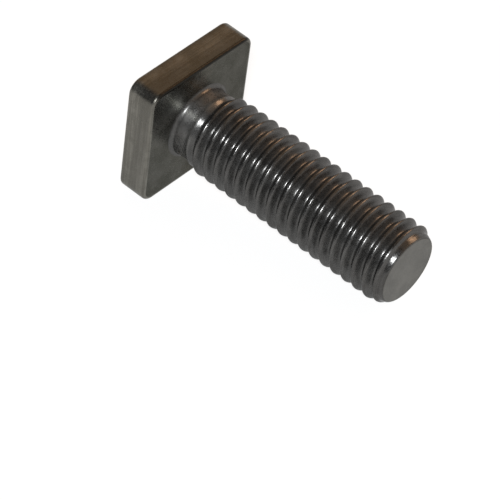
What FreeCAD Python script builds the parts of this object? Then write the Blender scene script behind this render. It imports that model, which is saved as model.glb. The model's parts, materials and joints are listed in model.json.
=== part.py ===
import FreeCAD, Part
import math
import os
import Sketcher

# A square head bolt in stainless steel: a flat square head on a short neck and a threaded shank.
# It is modelled along its own axis: the bearing face of the head is the plane X = 0, the head lies
# behind it and the shank points along +X. Its place then lays it down as it comes to rest, on the
# lower edge of the head and on the last full turn of the thread, with the tip a little lower.

# Driving dimensions, in millimetres and degrees
SIZES = {
    "across_flats": 13.0,
    "head_height": 3.0,
    "corner_radius": 1.3,
    "edge_chamfer": 0.3,
    "shank_length": 25.0,
    "thread_diameter": 7.9,
    "thread_depth": 0.45,
    "thread_pitch": 1.25,
    "crest_width": 0.21,
    "flank_angle": 60.0,
    "last_crest": 1.56,
    "tip_chamfer_length": 1.15,
    "tip_chamfer_depth": 0.65,
    "neck_flare": 0.4,
    "neck_step": 0.05,
    "neck_margin": 0.05,
    "lead_in": 0.5,
}

# What follows from them, on a second sheet. last_crest is how far back from the tip the last full
# crest lies under the axis. The bolt touches the floor there, and where the head's side meets the
# chamfer under the bearing face.
DERIVED = {
    "head_half": "Sizes.across_flats / 2",
    "crest_radius": "Sizes.thread_diameter / 2",
    "core_radius": "crest_radius - Sizes.thread_depth",
    "neck_radius": "core_radius - Sizes.neck_step",
    "flare_radius": "neck_radius + Sizes.neck_flare",
    "neck_end": "Sizes.neck_flare + Sizes.thread_pitch + Sizes.neck_margin",
    "thread_start": "neck_end + Sizes.lead_in",
    "chamfer_start": "Sizes.shank_length - Sizes.tip_chamfer_length",
    "tip_radius": "crest_radius - Sizes.tip_chamfer_depth",
    "flank_slope": "tan(Sizes.flank_angle * 1 deg / 2)",
    "overcut": "Sizes.crest_width / 2",
    "mouth_radius": "crest_radius + overcut",
    "mouth_half": "(Sizes.thread_pitch - Sizes.crest_width) / 2 + overcut * flank_slope",
    "root_half": "mouth_half - (mouth_radius - core_radius) * flank_slope",
    "contact": "Sizes.shank_length - Sizes.last_crest",
    "spare_turns": "ceil(Sizes.last_crest / Sizes.thread_pitch) + 1",
    "groove_centre": "contact + spare_turns * Sizes.thread_pitch",
    "groove_travel": "groove_centre - neck_end + Sizes.thread_pitch / 2",
    "root_near": "groove_centre - root_half",
    "root_far": "groove_centre + root_half",
    "mouth_near": "groove_centre - mouth_half",
    "mouth_far": "groove_centre + mouth_half",
}
DROOP = "atan2(Derived.head_half - Derived.crest_radius; Derived.contact + Sizes.edge_chamfer)"

NODE = "square_head_bolt"
TOUCH = 1e-6


def add_sheet(doc, label, cells):
    """A sheet with one named cell for each size."""
    sheet = doc.addObject("Spreadsheet::Sheet", label)
    for row, name in enumerate(cells, start=1):
        sheet.set("A%d" % row, name)
        sheet.setAlias("B%d" % row, name)
    for row, content in enumerate(cells.values(), start=1):
        sheet.set("B%d" % row, content)
    doc.recompute()
    return sheet


def formula(name):
    """A size's formula for an expression. The name may start with a minus."""
    plain = name.lstrip("-")
    sheet = "Sizes." if plain in SIZES else "Derived."
    return name.replace(plain, sheet + plain)


def read(doc, name):
    """A size's number. The name may start with a minus, and an empty name stands for zero."""
    plain = name.lstrip("-")
    if not plain:
        return 0.0
    sheet = doc.getObject("Sizes" if plain in SIZES else "Derived")
    return float(sheet.get(plain)) * (-1.0 if name.startswith("-") else 1.0)


def add_outline(doc, body, label, role, corners):
    """A closed outline of straight lines on one of the body's own origin planes.

    Each corner is a pair of sizes, across and up from the origin, and constraints tie it there.
    """
    planes = {item.Role: item for item in body.Origin.OriginFeatures}
    sketch = body.newObject("Sketcher::SketchObject", label)
    sketch.AttachmentSupport = (planes[role], [""])
    sketch.MapMode = "FlatFace"
    points = [FreeCAD.Vector(read(doc, x), read(doc, y), 0) for x, y in corners]
    for start, end in zip(points, points[1:] + points[:1]):
        sketch.addGeometry(Part.LineSegment(start, end), False)
    for corner in range(len(points)):
        before = corner - 1 if corner else len(points) - 1
        sketch.addConstraint(Sketcher.Constraint("Coincident", before, 2, corner, 1))
    for corner, (names, point) in enumerate(zip(corners, points)):
        axes = (("DistanceX", names[0], point.x, -2), ("DistanceY", names[1], point.y, -1))
        for kind, name, drawn, axis in axes:
            if not name:
                sketch.addConstraint(Sketcher.Constraint("PointOnObject", corner, 1, axis))
                continue
            index = sketch.addConstraint(Sketcher.Constraint(kind, -1, 1, corner, 1, drawn))
            tie = "%s_%d" % (kind, corner)
            sketch.renameConstraint(index, tie)
            sketch.setExpression("Constraints." + tie, formula(name))
    return sketch


def edge_names(feature, wanted):
    """The names of a feature's edges that a test accepts."""
    edges = enumerate(feature.Shape.Edges, start=1)
    return ["Edge%d" % number for number, edge in edges if wanted(edge)]


def add_head(doc, body):
    """The head: a square plate with round corners, its two faces edged by a small chamfer."""
    outline = add_outline(doc, body, "HeadOutline", "YZ_Plane", [
        ("head_half", "head_half"),
        ("-head_half", "head_half"),
        ("-head_half", "-head_half"),
        ("head_half", "-head_half"),
    ])
    plate = body.newObject("PartDesign::Pad", "HeadPlate")
    plate.Profile = outline
    plate.Reversed = True
    plate.setExpression("Length", "Sizes.head_height")
    doc.recompute()

    corners = body.newObject("PartDesign::Fillet", "HeadCorners")
    corners.Base = (plate, edge_names(plate, lambda edge: edge.BoundBox.XLength > TOUCH))
    corners.setExpression("Radius", "Sizes.corner_radius")
    doc.recompute()

    edges = body.newObject("PartDesign::Chamfer", "HeadEdges")
    edges.Base = (corners, edge_names(corners, lambda edge: edge.BoundBox.XLength < TOUCH))
    edges.setExpression("Size", "Sizes.edge_chamfer")
    doc.recompute()


def add_shank(doc, body):
    """The shank: a flared neck, a short cone up to the thread's crest, and a chamfered flat tip."""
    profile = add_outline(doc, body, "ShankProfile", "XY_Plane", [
        ("", ""),
        ("", "flare_radius"),
        ("neck_flare", "neck_radius"),
        ("neck_end", "neck_radius"),
        ("thread_start", "crest_radius"),
        ("chamfer_start", "crest_radius"),
        ("shank_length", "tip_radius"),
        ("shank_length", ""),
    ])
    shank = body.newObject("PartDesign::Revolution", "Shank")
    shank.Profile = profile
    shank.ReferenceAxis = (profile, ["H_Axis"])
    doc.recompute()


def add_thread(doc, body):
    """The thread: one right-hand helical groove with flat crests, cut from past the tip to the neck.

    The groove is drawn over the axis, whole pitches past the last crest under the axis, so that a
    crest comes to lie there. The neck is thinner than the root, so the groove runs out over it with
    no end wall.
    """
    profile = add_outline(doc, body, "GrooveProfile", "XZ_Plane", [
        ("root_near", "core_radius"),
        ("root_far", "core_radius"),
        ("mouth_far", "mouth_radius"),
        ("mouth_near", "mouth_radius"),
    ])
    thread = body.newObject("PartDesign::SubtractiveHelix", "Thread")
    thread.Profile = profile
    thread.ReferenceAxis = (profile, ["H_Axis"])
    thread.Mode = "pitch-height-angle"
    thread.Reversed = True
    thread.setExpression("Pitch", "Sizes.thread_pitch")
    thread.setExpression("Height", "Derived.groove_travel")
    doc.recompute()


def lay_down(body):
    """Turns the bolt about the middle of its bearing face until it lies on the floor."""
    level = FreeCAD.Rotation(FreeCAD.Vector(0, 1, 0), 1)
    body.Placement = FreeCAD.Placement(FreeCAD.Vector(), level)
    body.setExpression("Placement.Rotation.Angle", DROOP)


def check(doc, body, blank_volume):
    """Stops on a failed feature, an empty or broken solid, or a groove that cut nothing."""
    for item in doc.Objects:
        if "Invalid" in item.State or "Error" in item.State:
            raise RuntimeError("%s failed: %s" % (item.Label, item.State))
    shape = body.Shape
    if shape.isNull() or not shape.isValid() or len(shape.Solids) != 1:
        raise RuntimeError("%s is not one valid solid" % body.Label)
    if shape.Volume >= blank_volume:
        raise RuntimeError("the thread cut nothing")


def main():
    doc = FreeCAD.newDocument("SquareHeadBolt")
    add_sheet(doc, "Sizes", {name: str(value) for name, value in SIZES.items()})
    add_sheet(doc, "Derived", {name: "=" + content for name, content in DERIVED.items()})
    body = doc.addObject("PartDesign::Body", "SquareHeadBolt")
    body.Label = NODE
    add_head(doc, body)
    add_shank(doc, body)
    blank_volume = body.Shape.Volume
    add_thread(doc, body)
    lay_down(body)
    doc.recompute()
    check(doc, body, blank_volume)
    os.makedirs("parts", exist_ok=True)
    body.Shape.exportStep(os.path.join("parts", NODE + ".step"))
    droop = math.degrees(body.Placement.Rotation.Angle)
    print("volume %.2f mm3, droop %.7f degrees" % (body.Shape.Volume, droop))


main()
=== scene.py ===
import bmesh
import bpy
import json
import math
from mathutils import Matrix, Vector


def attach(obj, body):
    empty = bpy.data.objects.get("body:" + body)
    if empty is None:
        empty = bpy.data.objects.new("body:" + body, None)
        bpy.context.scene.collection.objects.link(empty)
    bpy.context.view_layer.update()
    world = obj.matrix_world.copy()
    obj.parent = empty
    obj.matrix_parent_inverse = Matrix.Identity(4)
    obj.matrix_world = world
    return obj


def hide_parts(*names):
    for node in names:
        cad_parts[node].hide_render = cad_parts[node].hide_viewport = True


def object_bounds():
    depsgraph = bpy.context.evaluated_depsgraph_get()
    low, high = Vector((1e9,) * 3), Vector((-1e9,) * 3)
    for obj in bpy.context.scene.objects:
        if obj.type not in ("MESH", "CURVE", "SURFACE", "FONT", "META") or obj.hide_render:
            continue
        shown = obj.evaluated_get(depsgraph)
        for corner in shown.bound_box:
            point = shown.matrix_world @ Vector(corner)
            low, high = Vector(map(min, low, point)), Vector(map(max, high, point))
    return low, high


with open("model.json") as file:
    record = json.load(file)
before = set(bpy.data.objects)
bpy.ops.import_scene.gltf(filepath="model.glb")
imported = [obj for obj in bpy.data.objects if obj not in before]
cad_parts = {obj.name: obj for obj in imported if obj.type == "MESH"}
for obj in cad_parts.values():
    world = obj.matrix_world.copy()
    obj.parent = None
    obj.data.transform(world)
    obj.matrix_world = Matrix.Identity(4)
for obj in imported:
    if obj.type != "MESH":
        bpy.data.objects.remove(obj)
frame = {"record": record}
cad_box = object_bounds()

MM = 0.001
NODE = "square_head_bolt"

# The bolt along its own axis, in millimetres: the bearing face is the plane X = 0, the head lies
# behind it and the shank points along +X
HEAD_HALF = 6.5
HEAD_HEIGHT = 3.0
CORNER_RADIUS = 1.3
EDGE_RADIUS = 0.3
NECK_RADIUS = 3.45
NECK_FILLET = 0.4
RUNOUT_START = 1.2
RUNOUT_END = 3.2
CREST_RADIUS = 3.95
ROOT_RADIUS = 3.25
PITCH = 1.25
CREST_WIDTH = 0.19
CREST_ROUNDING = 0.1
ROOT_ROUNDING = 0.14
FLANK_SLOPE = math.tan(math.radians(60))
LENGTH = 25.0
CHAMFER_START = 24.25
FADE_START = 24.2
FADE_END = 24.55
NOSE_SLOPE = 0.45
TIP_RADIUS = 3.3
TIP_ROUNDING = 0.25
TIP_EDGE_RADIUS = 0.3
TIP_EDGE_START = math.radians(30)

# The bolt lies on the thread's last full crest, which is right under the axis here. Turns count
# from +Y towards +Z, so three quarters of one is straight down.
LAST_CREST = 23.44
TURN_DOWN = 0.75

# The mesh: columns round the axis, of which each quarter has a half side, a corner and a half side,
# and a quarter circle in steps of 15 degrees for rounded edges
COLUMNS = 144
QUARTER = COLUMNS // 4
CORNER_COLUMNS = 12
SIDE_COLUMNS = (QUARTER - CORNER_COLUMNS) // 2
ARC = [math.radians(angle) for angle in range(0, 91, 15)]

# A ring this far past a rounded edge keeps the flat beside it flat
SUPPORT = 0.03

# Where the other rings lie: circles and a square on the head's top, squares down its side, shares
# of the way over the bearing face from its rim to the neck, circles on the neck and on the flat end
TOP_CIRCLES = (1.2, 3.0)
TOP_INSET = 1.2
SIDE_RINGS = (-2.1, -1.5, -0.9)
BEARING_SHARES = (0.3, 0.6, 0.85)
NECK_RINGS = (0.55, 0.75, 1.0)
END_CIRCLES = (1.8, 0.7)

# The rounded edge of the tip, in degrees: its rings, and where sheared metal takes over
TIP_EDGE_RINGS = (42, 54, 66, 78, 90)
CROPPED_FROM = 70

# Points along one pitch of the thread, in parts of it: closer together on the crest, in the middle,
# and in the root, at both ends
PITCH_PARTS = 64
PROFILE = (0, 2, 4, 6, 8, 12, 16, 20, 24, 26, 27, 28, 30,
           32, 34, 36, 37, 38, 40, 44, 48, 52, 56, 58, 60, 62)
SPARE_PITCHES = 2

# In metres: points closer than the first are one point, and edges shorter than the second go
MERGE_DISTANCE = 0.5e-6
SHORTEST_EDGE = 0.2e-6

# The zones of the surface: the head's top and sides, its bearing face, the shank and the flat end
FORGED, TURNED, ROLLED, CROPPED = range(4)


def axis_droop():
    """How far the bolt's axis dips below level, in radians, from the record's bearing face."""
    mounts = frame["record"]["mounts"]
    x, _, z = next(m["axis"] for m in mounts if m["name"] == "bearing_face")
    return math.atan2(-z, x)


DROOP = axis_droop()


# Shape

def smooth(start, end, value):
    """0 before start, 1 after end, and an even S between them."""
    t = min(1.0, max(0.0, (value - start) / (end - start)))
    return t * t * (3 - 2 * t)


def soft_min(a, b, radius):
    """The smaller of two heights, with the corner between them rounded."""
    h = max(radius - abs(a - b), 0.0) / radius
    return min(a, b) - h * h * radius / 4


def outside(x):
    """The radius that nothing on the shank passes: the neck's fillet, the crest, the tip's chamfer."""
    if x <= NECK_FILLET:
        rise = math.sqrt(max(0.0, NECK_FILLET ** 2 - (NECK_FILLET - x) ** 2))
        return NECK_RADIUS + NECK_FILLET - rise
    slope = (CREST_RADIUS - TIP_RADIUS) / (LENGTH - CHAMFER_START)
    return soft_min(CREST_RADIUS, CREST_RADIUS - (x - CHAMFER_START) * slope, TIP_ROUNDING)


def crest_place(turn):
    """Where the last crest's middle lies along the axis at a turn (0 to 1)."""
    return LAST_CREST + PITCH * (turn - TURN_DOWN)


def thread_radius(x, turn):
    """The thread's radius at a place along the axis and a turn (0 to 1)."""
    along = (x - crest_place(turn) + PITCH / 2) % PITCH - PITCH / 2
    flank = CREST_RADIUS - (abs(along) - CREST_WIDTH / 2) * FLANK_SLOPE
    top = soft_min(CREST_RADIUS, flank, CREST_ROUNDING * 2)
    radius = -soft_min(-ROOT_RADIUS, -top, ROOT_ROUNDING * 2)
    radius = NECK_RADIUS + (radius - NECK_RADIUS) * smooth(RUNOUT_START, RUNOUT_END, x)
    nose = TIP_RADIUS + (LENGTH - x) * NOSE_SLOPE
    return min(outside(x), radius + (nose - radius) * smooth(FADE_START, FADE_END, x))


def shank_columns():
    """For each column round the axis, the shank's points (x, radius) from the neck to the tip.

    The points follow the thread, so they lie a little farther on from column to column. Those
    before the run-out or past the tip's edge are held at that end and merged later.
    """
    start = RUNOUT_START
    end = LENGTH - TIP_EDGE_RADIUS * (1 - math.sin(TIP_EDGE_START))
    fillet = [NECK_FILLET * (1 - math.cos(a)) for a in ARC]
    neck = [(x, outside(x)) for x in fillet] + [(x, NECK_RADIUS) for x in NECK_RINGS]
    profile = [(part / PITCH_PARTS - 0.5) * PITCH for part in PROFILE]
    covered = int((end - start) / PITCH) + 1
    pitches = covered + 2 * SPARE_PITCHES
    columns = []
    for i in range(COLUMNS + 1):
        turn = i / COLUMNS
        first = crest_place(turn) - PITCH * covered
        points = list(neck)
        for k in range(pitches):
            for along in profile:
                x = min(end, max(start, first + k * PITCH + along))
                points.append((x, thread_radius(x, turn)))
        columns.append(points)
    return columns


def square_ring(x, inset):
    """A ring of the head's outline, COLUMNS points from the middle of the +Y side towards +Z."""
    half = HEAD_HALF - inset
    radius = CORNER_RADIUS - inset
    flat = half - radius
    quarter = [(half, flat * i / SIDE_COLUMNS) for i in range(SIDE_COLUMNS)]
    for i in range(CORNER_COLUMNS):
        a = math.pi / 2 * i / CORNER_COLUMNS
        quarter.append((flat + radius * math.cos(a), flat + radius * math.sin(a)))
    quarter += [(flat - flat * i / SIDE_COLUMNS, half) for i in range(SIDE_COLUMNS)]
    ring = []
    for turn in range(4):
        for y, z in quarter:
            for _ in range(turn):
                y, z = -z, y
            ring.append((x, y, z))
    return ring


def ring_of(x, radii):
    """A ring about the axis with a radius for each column."""
    ring = []
    for i, radius in enumerate(radii):
        a = 2 * math.pi * i / COLUMNS
        ring.append((x, radius * math.cos(a), radius * math.sin(a)))
    return ring


def round_ring(x, radius):
    """A circle about the axis."""
    return ring_of(x, [radius] * COLUMNS)


class Shell:
    """A closed mesh that grows ring by ring, each ring joined to the one before."""

    def __init__(self):
        self.points = []
        self.faces = []
        self.zones = []

    def ring(self, ring):
        """Adds a ring's points and gives back their numbers."""
        first = len(self.points)
        self.points += ring
        return list(range(first, first + len(ring)))

    def join(self, a, b, zone):
        """Faces between a ring and the one before it."""
        for i in range(len(a)):
            j = (i + 1) % len(a)
            self.faces.append((a[i], a[j], b[j], b[i]))
            self.zones.append(zone)

    def grow(self, last, ring, zone):
        """Adds a ring, joins it to the last one and gives back its numbers."""
        numbers = self.ring(ring)
        self.join(numbers, last, zone)
        return numbers

    def close(self, ring, centre, zone, flip):
        """A fan of faces from a ring to a point in its middle."""
        self.points.append(centre)
        middle = len(self.points) - 1
        for i in range(len(ring)):
            j = (i + 1) % len(ring)
            self.faces.append((ring[j], ring[i], middle) if flip else (ring[i], ring[j], middle))
            self.zones.append(zone)


def side_rings():
    """The head's rings from its top, over the side, to the rim of the bearing face."""
    rings = [round_ring(-HEAD_HEIGHT, radius) for radius in TOP_CIRCLES]
    rings.append(square_ring(-HEAD_HEIGHT, TOP_INSET))
    rings.append(square_ring(-HEAD_HEIGHT, EDGE_RADIUS + SUPPORT))
    for a in ARC:
        x = -HEAD_HEIGHT + EDGE_RADIUS * (1 - math.cos(a))
        rings.append(square_ring(x, EDGE_RADIUS * (1 - math.sin(a))))
    for x in (-HEAD_HEIGHT + EDGE_RADIUS + SUPPORT, *SIDE_RINGS, -EDGE_RADIUS - SUPPORT):
        rings.append(square_ring(x, 0.0))
    for a in ARC:
        rings.append(square_ring(-EDGE_RADIUS * (1 - math.sin(a)), EDGE_RADIUS * (1 - math.cos(a))))
    rings.append(square_ring(0.0, EDGE_RADIUS + SUPPORT))
    return rings


def bearing_rings():
    """The rings over the bearing face, from a square at its rim to a circle at the neck."""
    outer = square_ring(0.0, EDGE_RADIUS + SUPPORT)
    inner = round_ring(0.0, NECK_RADIUS + NECK_FILLET + SUPPORT)
    rings = []
    for share in BEARING_SHARES:
        ring = []
        for p, q in zip(outer, inner):
            ring.append(tuple(o + (i - o) * share for o, i in zip(p, q)))
        rings.append(ring)
    return rings + [inner]


def add_head(shell):
    """The head from the middle of its top to the neck. Gives back the ring at the neck."""
    first, *others = side_rings()
    last = shell.ring(first)
    shell.close(last, (-HEAD_HEIGHT, 0.0, 0.0), FORGED, True)
    for ring in others:
        last = shell.grow(last, ring, FORGED)
    for ring in bearing_rings():
        last = shell.grow(last, ring, TURNED)
    return last


def add_shank(shell):
    """The shank, its last column being the first one turned once round. Gives back its end rings."""
    columns = shank_columns()
    count = len(columns[0])
    grid = []
    for i, column in enumerate(columns):
        a = 2 * math.pi * i / COLUMNS
        grid.append(shell.ring([(x, r * math.cos(a), r * math.sin(a)) for x, r in column]))
    for here, there in zip(grid, grid[1:]):
        for j in range(count - 1):
            shell.faces.append((here[j + 1], there[j + 1], there[j], here[j]))
            shell.zones.append(ROLLED)
    return [column[0] for column in grid[:-1]], [column[-1] for column in grid[:-1]]


def add_tip(shell, last):
    """The tip: a small rounding, then the flat end."""
    ends = [math.hypot(*shell.points[number][1:]) for number in last]
    for step in TIP_EDGE_RINGS:
        a = math.radians(step)
        x = LENGTH - TIP_EDGE_RADIUS * (1 - math.sin(a))
        drop = TIP_EDGE_RADIUS * (math.cos(TIP_EDGE_START) - math.cos(a))
        ring = ring_of(x, [end - drop for end in ends])
        last = shell.grow(last, ring, ROLLED if step < CROPPED_FROM else CROPPED)
    for radius in (min(ends) - drop - SUPPORT, *END_CIRCLES):
        last = shell.grow(last, round_ring(LENGTH, radius), CROPPED)
    shell.close(last, (LENGTH, 0.0, 0.0), CROPPED, False)


def make_object(shell):
    """The shell as an object, its doubled points merged, laid down as the bolt rests."""
    mesh = bpy.data.meshes.new("bolt")
    mesh.from_pydata([tuple(c * MM for c in p) for p in shell.points], [], shell.faces)
    for polygon, zone in zip(mesh.polygons, shell.zones):
        polygon.material_index = zone
        polygon.use_smooth = True
    work = bmesh.new()
    work.from_mesh(mesh)
    bmesh.ops.remove_doubles(work, verts=work.verts, dist=MERGE_DISTANCE)
    bmesh.ops.dissolve_degenerate(work, dist=SHORTEST_EDGE, edges=work.edges)
    bmesh.ops.recalc_face_normals(work, faces=work.faces)
    work.to_mesh(mesh)
    work.free()
    mesh.transform(Matrix.Rotation(DROOP, 4, "Y"))
    bolt = bpy.data.objects.new("bolt", mesh)
    bpy.context.scene.collection.objects.link(bolt)
    return bolt


def build_bolt():
    """The bolt as one closed mesh."""
    shell = Shell()
    under_head = add_head(shell)
    neck, end = add_shank(shell)
    shell.join(neck, under_head, TURNED)
    add_tip(shell, end)
    return make_object(shell)


# Material

# The finish of each zone, in the order of their numbers.
# light and dark are its tones, and a smaller spread parts them more sharply.
# roughness and film run from the least to the most, film being how much dull film covers the metal.
# mark_depth and grain_depth are the depths of tool marks and grain, in millimetres.
# edge_tint is the tint of a reflection at a grazing view.
# mark_share is the part of the tone that comes from tool marks.
# round_marks says that the marks are rings on a flat face.
# stretch is how far a reflection is drawn out across marks that run round the axis.
FINISHES = {
    "forged": {
        "light": (0.192, 0.186, 0.164, 1.0),
        "dark": (0.114, 0.110, 0.096, 1.0),
        "spread": 0.14,
        "roughness": (0.26, 0.44),
        "mark_depth": 0.006,
        "grain_depth": 0.0015,
        "film": (0.0, 0.06),
        "edge_tint": 0.8,
        "mark_share": 0.5,
        "round_marks": False,
        "stretch": 0.0,
    },
    # The bearing face's tones are painted darker than the other zones', standing in for shade on that
    # face
    "turned": {
        "light": (0.128, 0.127, 0.116, 1.0),
        "dark": (0.098, 0.098, 0.088, 1.0),
        "spread": 0.14,
        "roughness": (0.22, 0.36),
        "mark_depth": 0.0002,
        "grain_depth": 0.005,
        "film": (0.02, 0.07),
        "edge_tint": 0.28,
        "mark_share": 0.15,
        "round_marks": True,
        "stretch": 0.93,
    },
    "rolled": {
        "light": (0.097, 0.096, 0.093, 1.0),
        "dark": (0.056, 0.055, 0.053, 1.0),
        "spread": 0.14,
        "roughness": (0.17, 0.40),
        "mark_depth": 0.0008,
        "grain_depth": 0.003,
        "film": (0.05, 0.15),
        "edge_tint": 0.62,
        "mark_share": 0.5,
        "round_marks": False,
        "stretch": 0.65,
    },
    "cropped": {
        "light": (0.165, 0.165, 0.154, 1.0),
        "dark": (0.105, 0.105, 0.098, 1.0),
        "spread": 0.3,
        "roughness": (0.46, 0.56),
        "mark_depth": 0.0002,
        "grain_depth": 0.003,
        "film": (0.0, 0.06),
        "edge_tint": 0.8,
        "mark_share": 0.15,
        "round_marks": True,
        "stretch": 0.0,
    },
}

# Patterns on every zone. A SCALE says how dense a pattern is, outwards from the axis or along the
# bolt's X, Y and Z, a FADE between which values it comes in, and a SHARE how much of it shows.
# ACROSS_MARKS is a quarter turn, from along the marks to across them.
RING_SCALE = 6.0
MARK_SCALE = (9.0, 0.25, 0.25)
PATCH_DEPTH = 0.01
PATCH_ROUGHNESS = 0.3
ROUGHNESS_FADE = (0.4, 0.6)
FILM_FADE = (0.35, 0.65)
SCUFF_SCALE = (1.0, 2.4, 0.7)
SCUFF_FADE = (0.62, 0.74)
SCUFF_SHARE = 0.25
SCUFF_LIGHT = 1.6
SCUFF_ROUGHNESS = 0.1
ACROSS_MARKS = 0.25

# The head: its top is evened out, its sides have broad darker bands, and its upper edge at the
# bearing face has a painted dark line, standing in for a dark reflection there. Places are in the
# bolt's own millimetres.
TOP_FADE = (-2.95, -2.85)
TOP_EVEN = 0.6
BAND_SCALE = (1.2, 0.06, 0.06)
BAND_FADE = (0.35, 0.65)
BAND_SHARE = 0.8
BAND_DARK = 0.85
BAND_DEPTH = 0.08
DARK_EDGE_FADE = (-0.34, -0.2)
DARK_EDGE_HEIGHT = (6.0, 6.3)
DARK_EDGE_SHARE = 0.95
DARK_EDGE_SHADE = 0.15

# The shank: the neck is painted paler, standing in for the sheen about its highlight, and the fillet
# and the thread's grooves are painted darker, standing in for shade in them. Grooves go by the
# distance from the axis, up to the tip's nose.
FILLET_SHADE_FADE = (0.3, 0.6)
FILLET_SHADE_SHARE = 0.7
NECK_FADE = (1.5, 2.4)
NECK_LIGHT_SHARE = 0.6
NECK_PAINTED_LIGHT = 1.9
NECK_FILM = 0.06
NECK_ROUGHNESS = 0.08
GROOVE_FADE = (3.3, 3.85)
GROOVE_END = (24.3, 24.6)
GROOVE_SHADE_SHARE = 0.3
GROOVE_PAINTED_SHADE = 0.5
GROOVE_FILM = 0.14


class Nodes:
    """Short calls to lay out a material's nodes, starting from none."""

    def __init__(self, tree):
        tree.nodes.clear()
        self.tree = tree

    def add(self, kind, **settings):
        node = self.tree.nodes.new(kind)
        for key, value in settings.items():
            setattr(node, key, value)
        return node

    def put(self, socket, value):
        """Links a socket, or sets it to a constant."""
        if isinstance(value, bpy.types.NodeSocket):
            self.tree.links.new(value, socket)
        else:
            socket.default_value = value

    def split(self, vector):
        node = self.add("ShaderNodeSeparateXYZ")
        self.put(node.inputs[0], vector)
        return node.outputs

    def math(self, operation, a, b=0.0):
        node = self.add("ShaderNodeMath", operation=operation)
        self.put(node.inputs[0], a)
        self.put(node.inputs[1], b)
        return node.outputs[0]

    def times(self, a, b):
        return self.math("MULTIPLY", a, b)

    def blend(self, a, b, share):
        """Two values in one, share being the second one's part."""
        return self.math("ADD", self.times(a, 1 - share), self.times(b, share))

    def raised(self, value, mask, most):
        """A value that a mask raises by as much as a given amount."""
        return self.math("ADD", value, self.times(mask, most))

    def ramp(self, value, low, high, to_low=0.0, to_high=1.0):
        node = self.add("ShaderNodeMapRange", interpolation_type="SMOOTHSTEP")
        for socket, v in zip(node.inputs, (value, low, high, to_low, to_high)):
            self.put(socket, v)
        return node.outputs[0]

    def stretch(self, vector, scale):
        node = self.add("ShaderNodeVectorMath", operation="MULTIPLY")
        self.put(node.inputs[0], vector)
        node.inputs[1].default_value = scale
        return node.outputs[0]

    def turn(self, vector, angle):
        """A vector turned about the Y axis."""
        node = self.add("ShaderNodeVectorRotate", rotation_type="Y_AXIS")
        self.put(node.inputs["Vector"], vector)
        node.inputs["Angle"].default_value = angle
        return node.outputs[0]

    def noise(self, vector, scale, detail, rough=0.55, distortion=0.0):
        node = self.add("ShaderNodeTexNoise")
        self.put(node.inputs["Vector"], vector)
        node.inputs["Scale"].default_value = scale
        node.inputs["Detail"].default_value = detail
        node.inputs["Roughness"].default_value = rough
        node.inputs["Distortion"].default_value = distortion
        return node.outputs["Fac"]

    def line_noise(self, value, scale, detail):
        node = self.add("ShaderNodeTexNoise", noise_dimensions="1D")
        self.put(node.inputs["W"], value)
        node.inputs["Scale"].default_value = scale
        node.inputs["Detail"].default_value = detail
        return node.outputs["Fac"]

    def mix(self, share, a, b):
        node = self.add("ShaderNodeMix", data_type="RGBA")
        self.put(node.inputs[0], share)
        self.put(node.inputs[6], a)
        self.put(node.inputs[7], b)
        return node.outputs[2]

    def cover(self, colour, over, mask, share):
        """A colour with another laid over it where a mask is, as thick as share."""
        return self.mix(self.times(mask, share), colour, over)

    def bump(self, height, depth_mm, normal=None):
        node = self.add("ShaderNodeBump")
        node.inputs["Strength"].default_value = 1.0
        node.inputs["Distance"].default_value = depth_mm * MM
        self.put(node.inputs["Height"], height)
        if normal is not None:
            self.put(node.inputs["Normal"], normal)
        return node.outputs["Normal"]


def new_material(name):
    """An empty material and the calls to lay out its nodes."""
    material = bpy.data.materials.new(name)
    material.use_nodes = True
    return material, Nodes(material.node_tree)


def shade(colour, factor):
    """A colour made lighter or darker."""
    return [c * factor for c in colour[:3]] + [1.0]


def bolt_place(n):
    """The place on the bolt along its own axes, in millimetres."""
    level = n.turn(n.add("ShaderNodeTexCoord").outputs["Object"], -DROOP)
    return n.stretch(level, (1 / MM, 1 / MM, 1 / MM))


def tool_marks(n, place, radial, finish):
    """Fine marks: rings about the axis, or streaks round the head's sides and the thread."""
    if finish["round_marks"]:
        return n.line_noise(radial, scale=RING_SCALE, detail=4.0)
    return n.noise(n.stretch(place, MARK_SCALE), scale=1.0, detail=5.0, rough=0.6)


def scuff_mask(n, place):
    """Sparse small scuffs."""
    place = n.stretch(place, SCUFF_SCALE)
    return n.ramp(n.noise(place, scale=2.2, detail=8.0, rough=0.75, distortion=1.5), *SCUFF_FADE)


def even_top(n, colour, x, finish):
    """The colour with less contrast on the head's top."""
    even = [(a + b) / 2 for a, b in zip(finish["light"], finish["dark"])]
    return n.mix(n.ramp(x, *TOP_FADE, TOP_EVEN, 0.0), colour, even)


def painted_dark_edge(n, colour, x, z, dark):
    """The colour with a painted dark line along the head's upper edge at the bearing face, standing in
    for a dark reflection.
    """
    dark_edge_mask = n.times(n.ramp(x, *DARK_EDGE_FADE), n.ramp(z, *DARK_EDGE_HEIGHT))
    return n.cover(colour, shade(dark, DARK_EDGE_SHADE), dark_edge_mask, DARK_EDGE_SHARE)


def shank_masks(n, x, radial):
    """Masks of the neck, of the thread's grooves between neck and tip, and of the neck's fillet."""
    neck = n.ramp(x, *NECK_FADE, 1.0, 0.0)
    groove = n.times(n.ramp(radial, *GROOVE_FADE, 1.0, 0.0), n.math("SUBTRACT", 1.0, neck))
    groove = n.times(groove, n.ramp(x, *GROOVE_END, 1.0, 0.0))
    fillet = n.ramp(x, *FILLET_SHADE_FADE, 1.0, 0.0)
    return neck, groove, fillet


def round_tangent(n, y, z):
    """The direction round the bolt's axis, in the world's axes."""
    around = n.add("ShaderNodeCombineXYZ")
    n.put(around.inputs[1], n.times(z, -1.0))
    n.put(around.inputs[2], y)
    out = n.add("ShaderNodeVectorTransform", vector_type="VECTOR")
    out.convert_from = "OBJECT"
    out.convert_to = "WORLD"
    n.put(out.inputs[0], n.turn(around.outputs[0], DROOP))
    return out.outputs[0]


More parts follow.
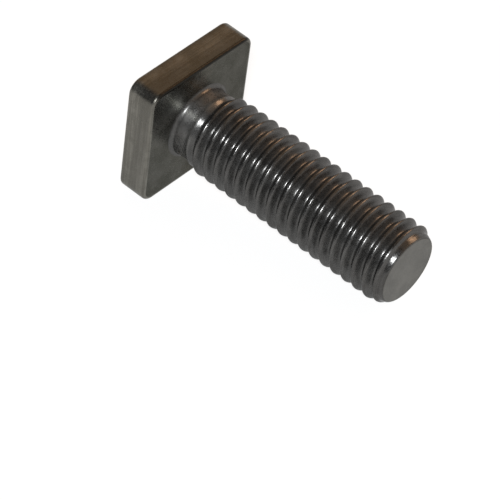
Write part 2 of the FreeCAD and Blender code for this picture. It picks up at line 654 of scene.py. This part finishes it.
def steel(zone, finish):
    """Dull stainless steel: patches of tone, tool marks in the zone's direction, grain and scuffs."""
    material, n = new_material(zone + "_steel")
    light, dark = finish["light"], finish["dark"]
    place = bolt_place(n)
    x, y, z = n.split(place)
    radial = n.math("SQRT", n.math("ADD", n.times(y, y), n.times(z, z)))

    patches = n.noise(place, scale=0.45, detail=5.0, rough=0.6, distortion=0.4)
    grain = n.noise(place, scale=9.0, detail=6.0, rough=0.65)
    marks = tool_marks(n, place, radial, finish)
    scuffs = scuff_mask(n, place)
    film = n.noise(place, scale=1.3, detail=5.0, rough=0.6, distortion=0.8)
    film = n.ramp(film, *FILM_FADE, *finish["film"])
    rough = n.blend(grain, patches, PATCH_ROUGHNESS)
    rough = n.ramp(rough, *ROUGHNESS_FADE, *finish["roughness"])
    rough = n.raised(rough, scuffs, SCUFF_ROUGHNESS)

    tone = n.blend(patches, marks, finish["mark_share"])
    spread = finish["spread"]
    colour = n.mix(n.ramp(tone, 0.5 - spread, 0.5 + spread), dark, light)
    if zone == "forged":
        colour = even_top(n, colour, x, finish)
    colour = n.cover(colour, shade(light, SCUFF_LIGHT), scuffs, SCUFF_SHARE)
    normal = None
    if zone == "forged":
        bands = n.noise(n.stretch(place, BAND_SCALE), scale=1.0, detail=3.0, rough=0.6)
        band_mask = n.ramp(bands, *BAND_FADE, BAND_SHARE, 0.0)
        colour = n.mix(band_mask, colour, shade(dark, BAND_DARK))
        # Painted dark line on the head's upper edge, standing in for a dark reflection
        colour = painted_dark_edge(n, colour, x, z, dark)
        normal = n.bump(bands, BAND_DEPTH)
    if zone == "rolled":
        neck, groove, fillet = shank_masks(n, x, radial)
        # Painted shade in the thread's grooves
        colour = n.cover(colour, shade(dark, GROOVE_PAINTED_SHADE), groove, GROOVE_SHADE_SHARE)
        # Painted light on the neck, paler where its highlight spreads
        colour = n.cover(colour, shade(light, NECK_PAINTED_LIGHT), neck, NECK_LIGHT_SHARE)
        # Painted shade in the neck's fillet
        colour = n.cover(colour, dark, fillet, FILLET_SHADE_SHARE)
        film = n.raised(n.raised(film, groove, GROOVE_FILM), neck, NECK_FILM)
        rough = n.raised(rough, neck, NECK_ROUGHNESS)
    normal = n.bump(marks, finish["mark_depth"], normal)
    normal = n.bump(grain, finish["grain_depth"], normal)
    normal = n.bump(patches, PATCH_DEPTH, normal)

    tint = finish["edge_tint"]
    surface = n.add("ShaderNodeBsdfPrincipled")
    n.put(surface.inputs["Base Color"], colour)
    n.put(surface.inputs["Roughness"], rough)
    n.put(surface.inputs["Normal"], normal)
    n.put(surface.inputs["Metallic"], n.math("SUBTRACT", 1.0, film))
    n.put(surface.inputs["Specular Tint"], (tint, tint, tint, 1.0))
    if finish["stretch"]:
        n.put(surface.inputs["Tangent"], round_tangent(n, y, z))
        n.put(surface.inputs["Anisotropic"], finish["stretch"])
        n.put(surface.inputs["Anisotropic Rotation"], ACROSS_MARKS)
    n.put(n.add("ShaderNodeOutputMaterial").inputs["Surface"], surface.outputs[0])
    return material


def dress(bolt):
    """One material slot for each zone, in the zones' order."""
    for zone, finish in FINISHES.items():
        bolt.data.materials.append(steel(zone, finish))


# Studio

WHITE = (1.0, 1.0, 1.0, 1.0)
FLOOR_HALF = 3.0
FLOOR_CLOTH = (0.94, 0.94, 0.94, 1.0)
FLOOR_WHITE_SHARE = 0.85

# Both lamps stand this far from the bolt's middle, in metres. The key lamp is the photo's flash, a
# little off the camera's direction.
LAMP_DISTANCE = 1.0
BOLT_MIDDLE = Vector((0.011, 0.0, 0.0))
KEY_SHIFT = Vector((0.03, -0.04, 0.04))
KEY_COLOUR = (0.95, 0.975, 1.0)
AMBER_TOWARDS = Vector((0.28, 0.71, 0.64))
AMBER_COLOUR = (1.0, 0.6, 0.36)

# The room over the white is grey, and brown towards +Y, where the white reaches higher. The fades
# go by the Y and the Z of a direction.
ROOM_GREY = (0.095, 0.098, 0.108, 1.0)
ROOM_BROWN = (0.54, 0.37, 0.235, 1.0)
BROWN_FADE = (-0.25, 0.3)
RISE_FADE = (-0.3, 0.5)
WHITE_RISE = 0.2
WHITE_FADE = (0.0, 0.14)

# The camera of the photo along the bolt's own axes: its right and forward directions, and how many
# millimetres it stands to the right of the origin, below it and ahead of it, a minus being behind
CAMERA_RIGHT = Vector((0.7345, 0.6709, 0.1020))
CAMERA_FORWARD = Vector((-0.4125, 0.5607, -0.7179))
CAMERA_OFFSET = (4.704, 11.687, -287.2)
CAMERA_LENS = 230.26
CAMERA_SENSOR = 36.0
CAMERA_NEAREST = 0.01


def seen_ray(n):
    """1 for rays that show the background: straight, mirrored or through glass."""
    path = n.add("ShaderNodeLightPath")
    seen = n.math("MAXIMUM", path.outputs["Is Camera Ray"], path.outputs["Is Glossy Ray"])
    return n.math("MAXIMUM", seen, path.outputs["Is Transmission Ray"])


def floor_white():
    """White that shows the shadow: mostly plain where it is seen, and matt cloth to other light."""
    material, n = new_material("floor_white")
    cloth = n.add("ShaderNodeBsdfDiffuse")
    n.put(cloth.inputs["Color"], FLOOR_CLOTH)
    white = n.add("ShaderNodeEmission")
    n.put(white.inputs["Color"], WHITE)
    blend = n.add("ShaderNodeMixShader")
    n.put(blend.inputs[0], n.times(seen_ray(n), FLOOR_WHITE_SHARE))
    n.put(blend.inputs[1], cloth.outputs[0])
    n.put(blend.inputs[2], white.outputs[0])
    n.put(n.add("ShaderNodeOutputMaterial").inputs["Surface"], blend.outputs[0])
    return material


def add_floor(level):
    """A plain white floor that the bolt lies on."""
    mesh = bpy.data.meshes.new("floor")
    signs = ((-1, -1), (1, -1), (1, 1), (-1, 1))
    mesh.from_pydata([(x * FLOOR_HALF, y * FLOOR_HALF, 0) for x, y in signs], [], [(0, 1, 2, 3)])
    floor = bpy.data.objects.new("floor", mesh)
    floor.location.z = level
    bpy.context.scene.collection.objects.link(floor)
    mesh.materials.append(floor_white())


def add_lamp(name, towards, size, power, colour):
    """A square lamp that looks at the bolt's middle from a direction."""
    lamp = bpy.data.lights.new(name, "AREA")
    lamp.shape = "SQUARE"
    lamp.size = size
    lamp.energy = power
    lamp.color = colour
    holder = bpy.data.objects.new(name, lamp)
    way = towards.normalized()
    holder.location = BOLT_MIDDLE + way * LAMP_DISTANCE
    holder.rotation_euler = way.to_track_quat("Z", "Y").to_euler()
    holder.visible_camera = False
    bpy.context.scene.collection.objects.link(holder)


def light_world():
    """White up to the horizon, or a little over it towards +Y, then the dim room."""
    world = bpy.data.worlds.new("studio")
    world.use_nodes = True
    bpy.context.scene.world = world
    n = Nodes(world.node_tree)
    _, y, z = n.split(n.add("ShaderNodeTexCoord").outputs["Generated"])
    room = n.mix(n.ramp(y, *BROWN_FADE), ROOM_GREY, ROOM_BROWN)
    height = n.math("SUBTRACT", z, n.ramp(y, *RISE_FADE, 0.0, WHITE_RISE))
    light = n.add("ShaderNodeBackground")
    n.put(light.inputs["Color"], n.mix(n.ramp(height, *WHITE_FADE), WHITE, room))
    n.put(n.add("ShaderNodeOutputWorld").inputs["Surface"], light.outputs[0])


def add_camera():
    """The camera that sees the bolt as the photo does."""
    camera = bpy.data.cameras.new("camera")
    camera.sensor_fit = "HORIZONTAL"
    camera.sensor_width = CAMERA_SENSOR
    camera.lens = CAMERA_LENS
    camera.clip_start = CAMERA_NEAREST
    holder = bpy.data.objects.new("camera", camera)
    right = CAMERA_RIGHT.normalized()
    forward = (CAMERA_FORWARD - right * CAMERA_FORWARD.dot(right)).normalized()
    down = forward.cross(right)
    across, below, ahead = CAMERA_OFFSET
    place = (right * across + down * below + forward * ahead) * MM
    lay = Matrix.Rotation(DROOP, 4, "Y")
    turn = Matrix((right, -down, -forward)).transposed().to_4x4()
    holder.matrix_world = lay @ Matrix.Translation(place) @ turn
    bpy.context.scene.collection.objects.link(holder)
    bpy.context.scene.camera = holder
    return holder


def main():
    bolt = build_bolt()
    dress(bolt)
    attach(bolt, "root")
    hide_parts(NODE)

    add_floor(cad_box[0][2])
    camera = add_camera()
    back = camera.matrix_world.to_3x3() @ Vector((0, 0, 1))
    add_lamp("key", back + KEY_SHIFT, size=0.11, power=14.0, colour=KEY_COLOUR)
    add_lamp("amber", AMBER_TOWARDS, size=0.4, power=3.2, colour=AMBER_COLOUR)
    light_world()
    bpy.context.scene.view_settings.view_transform = "Standard"


main()
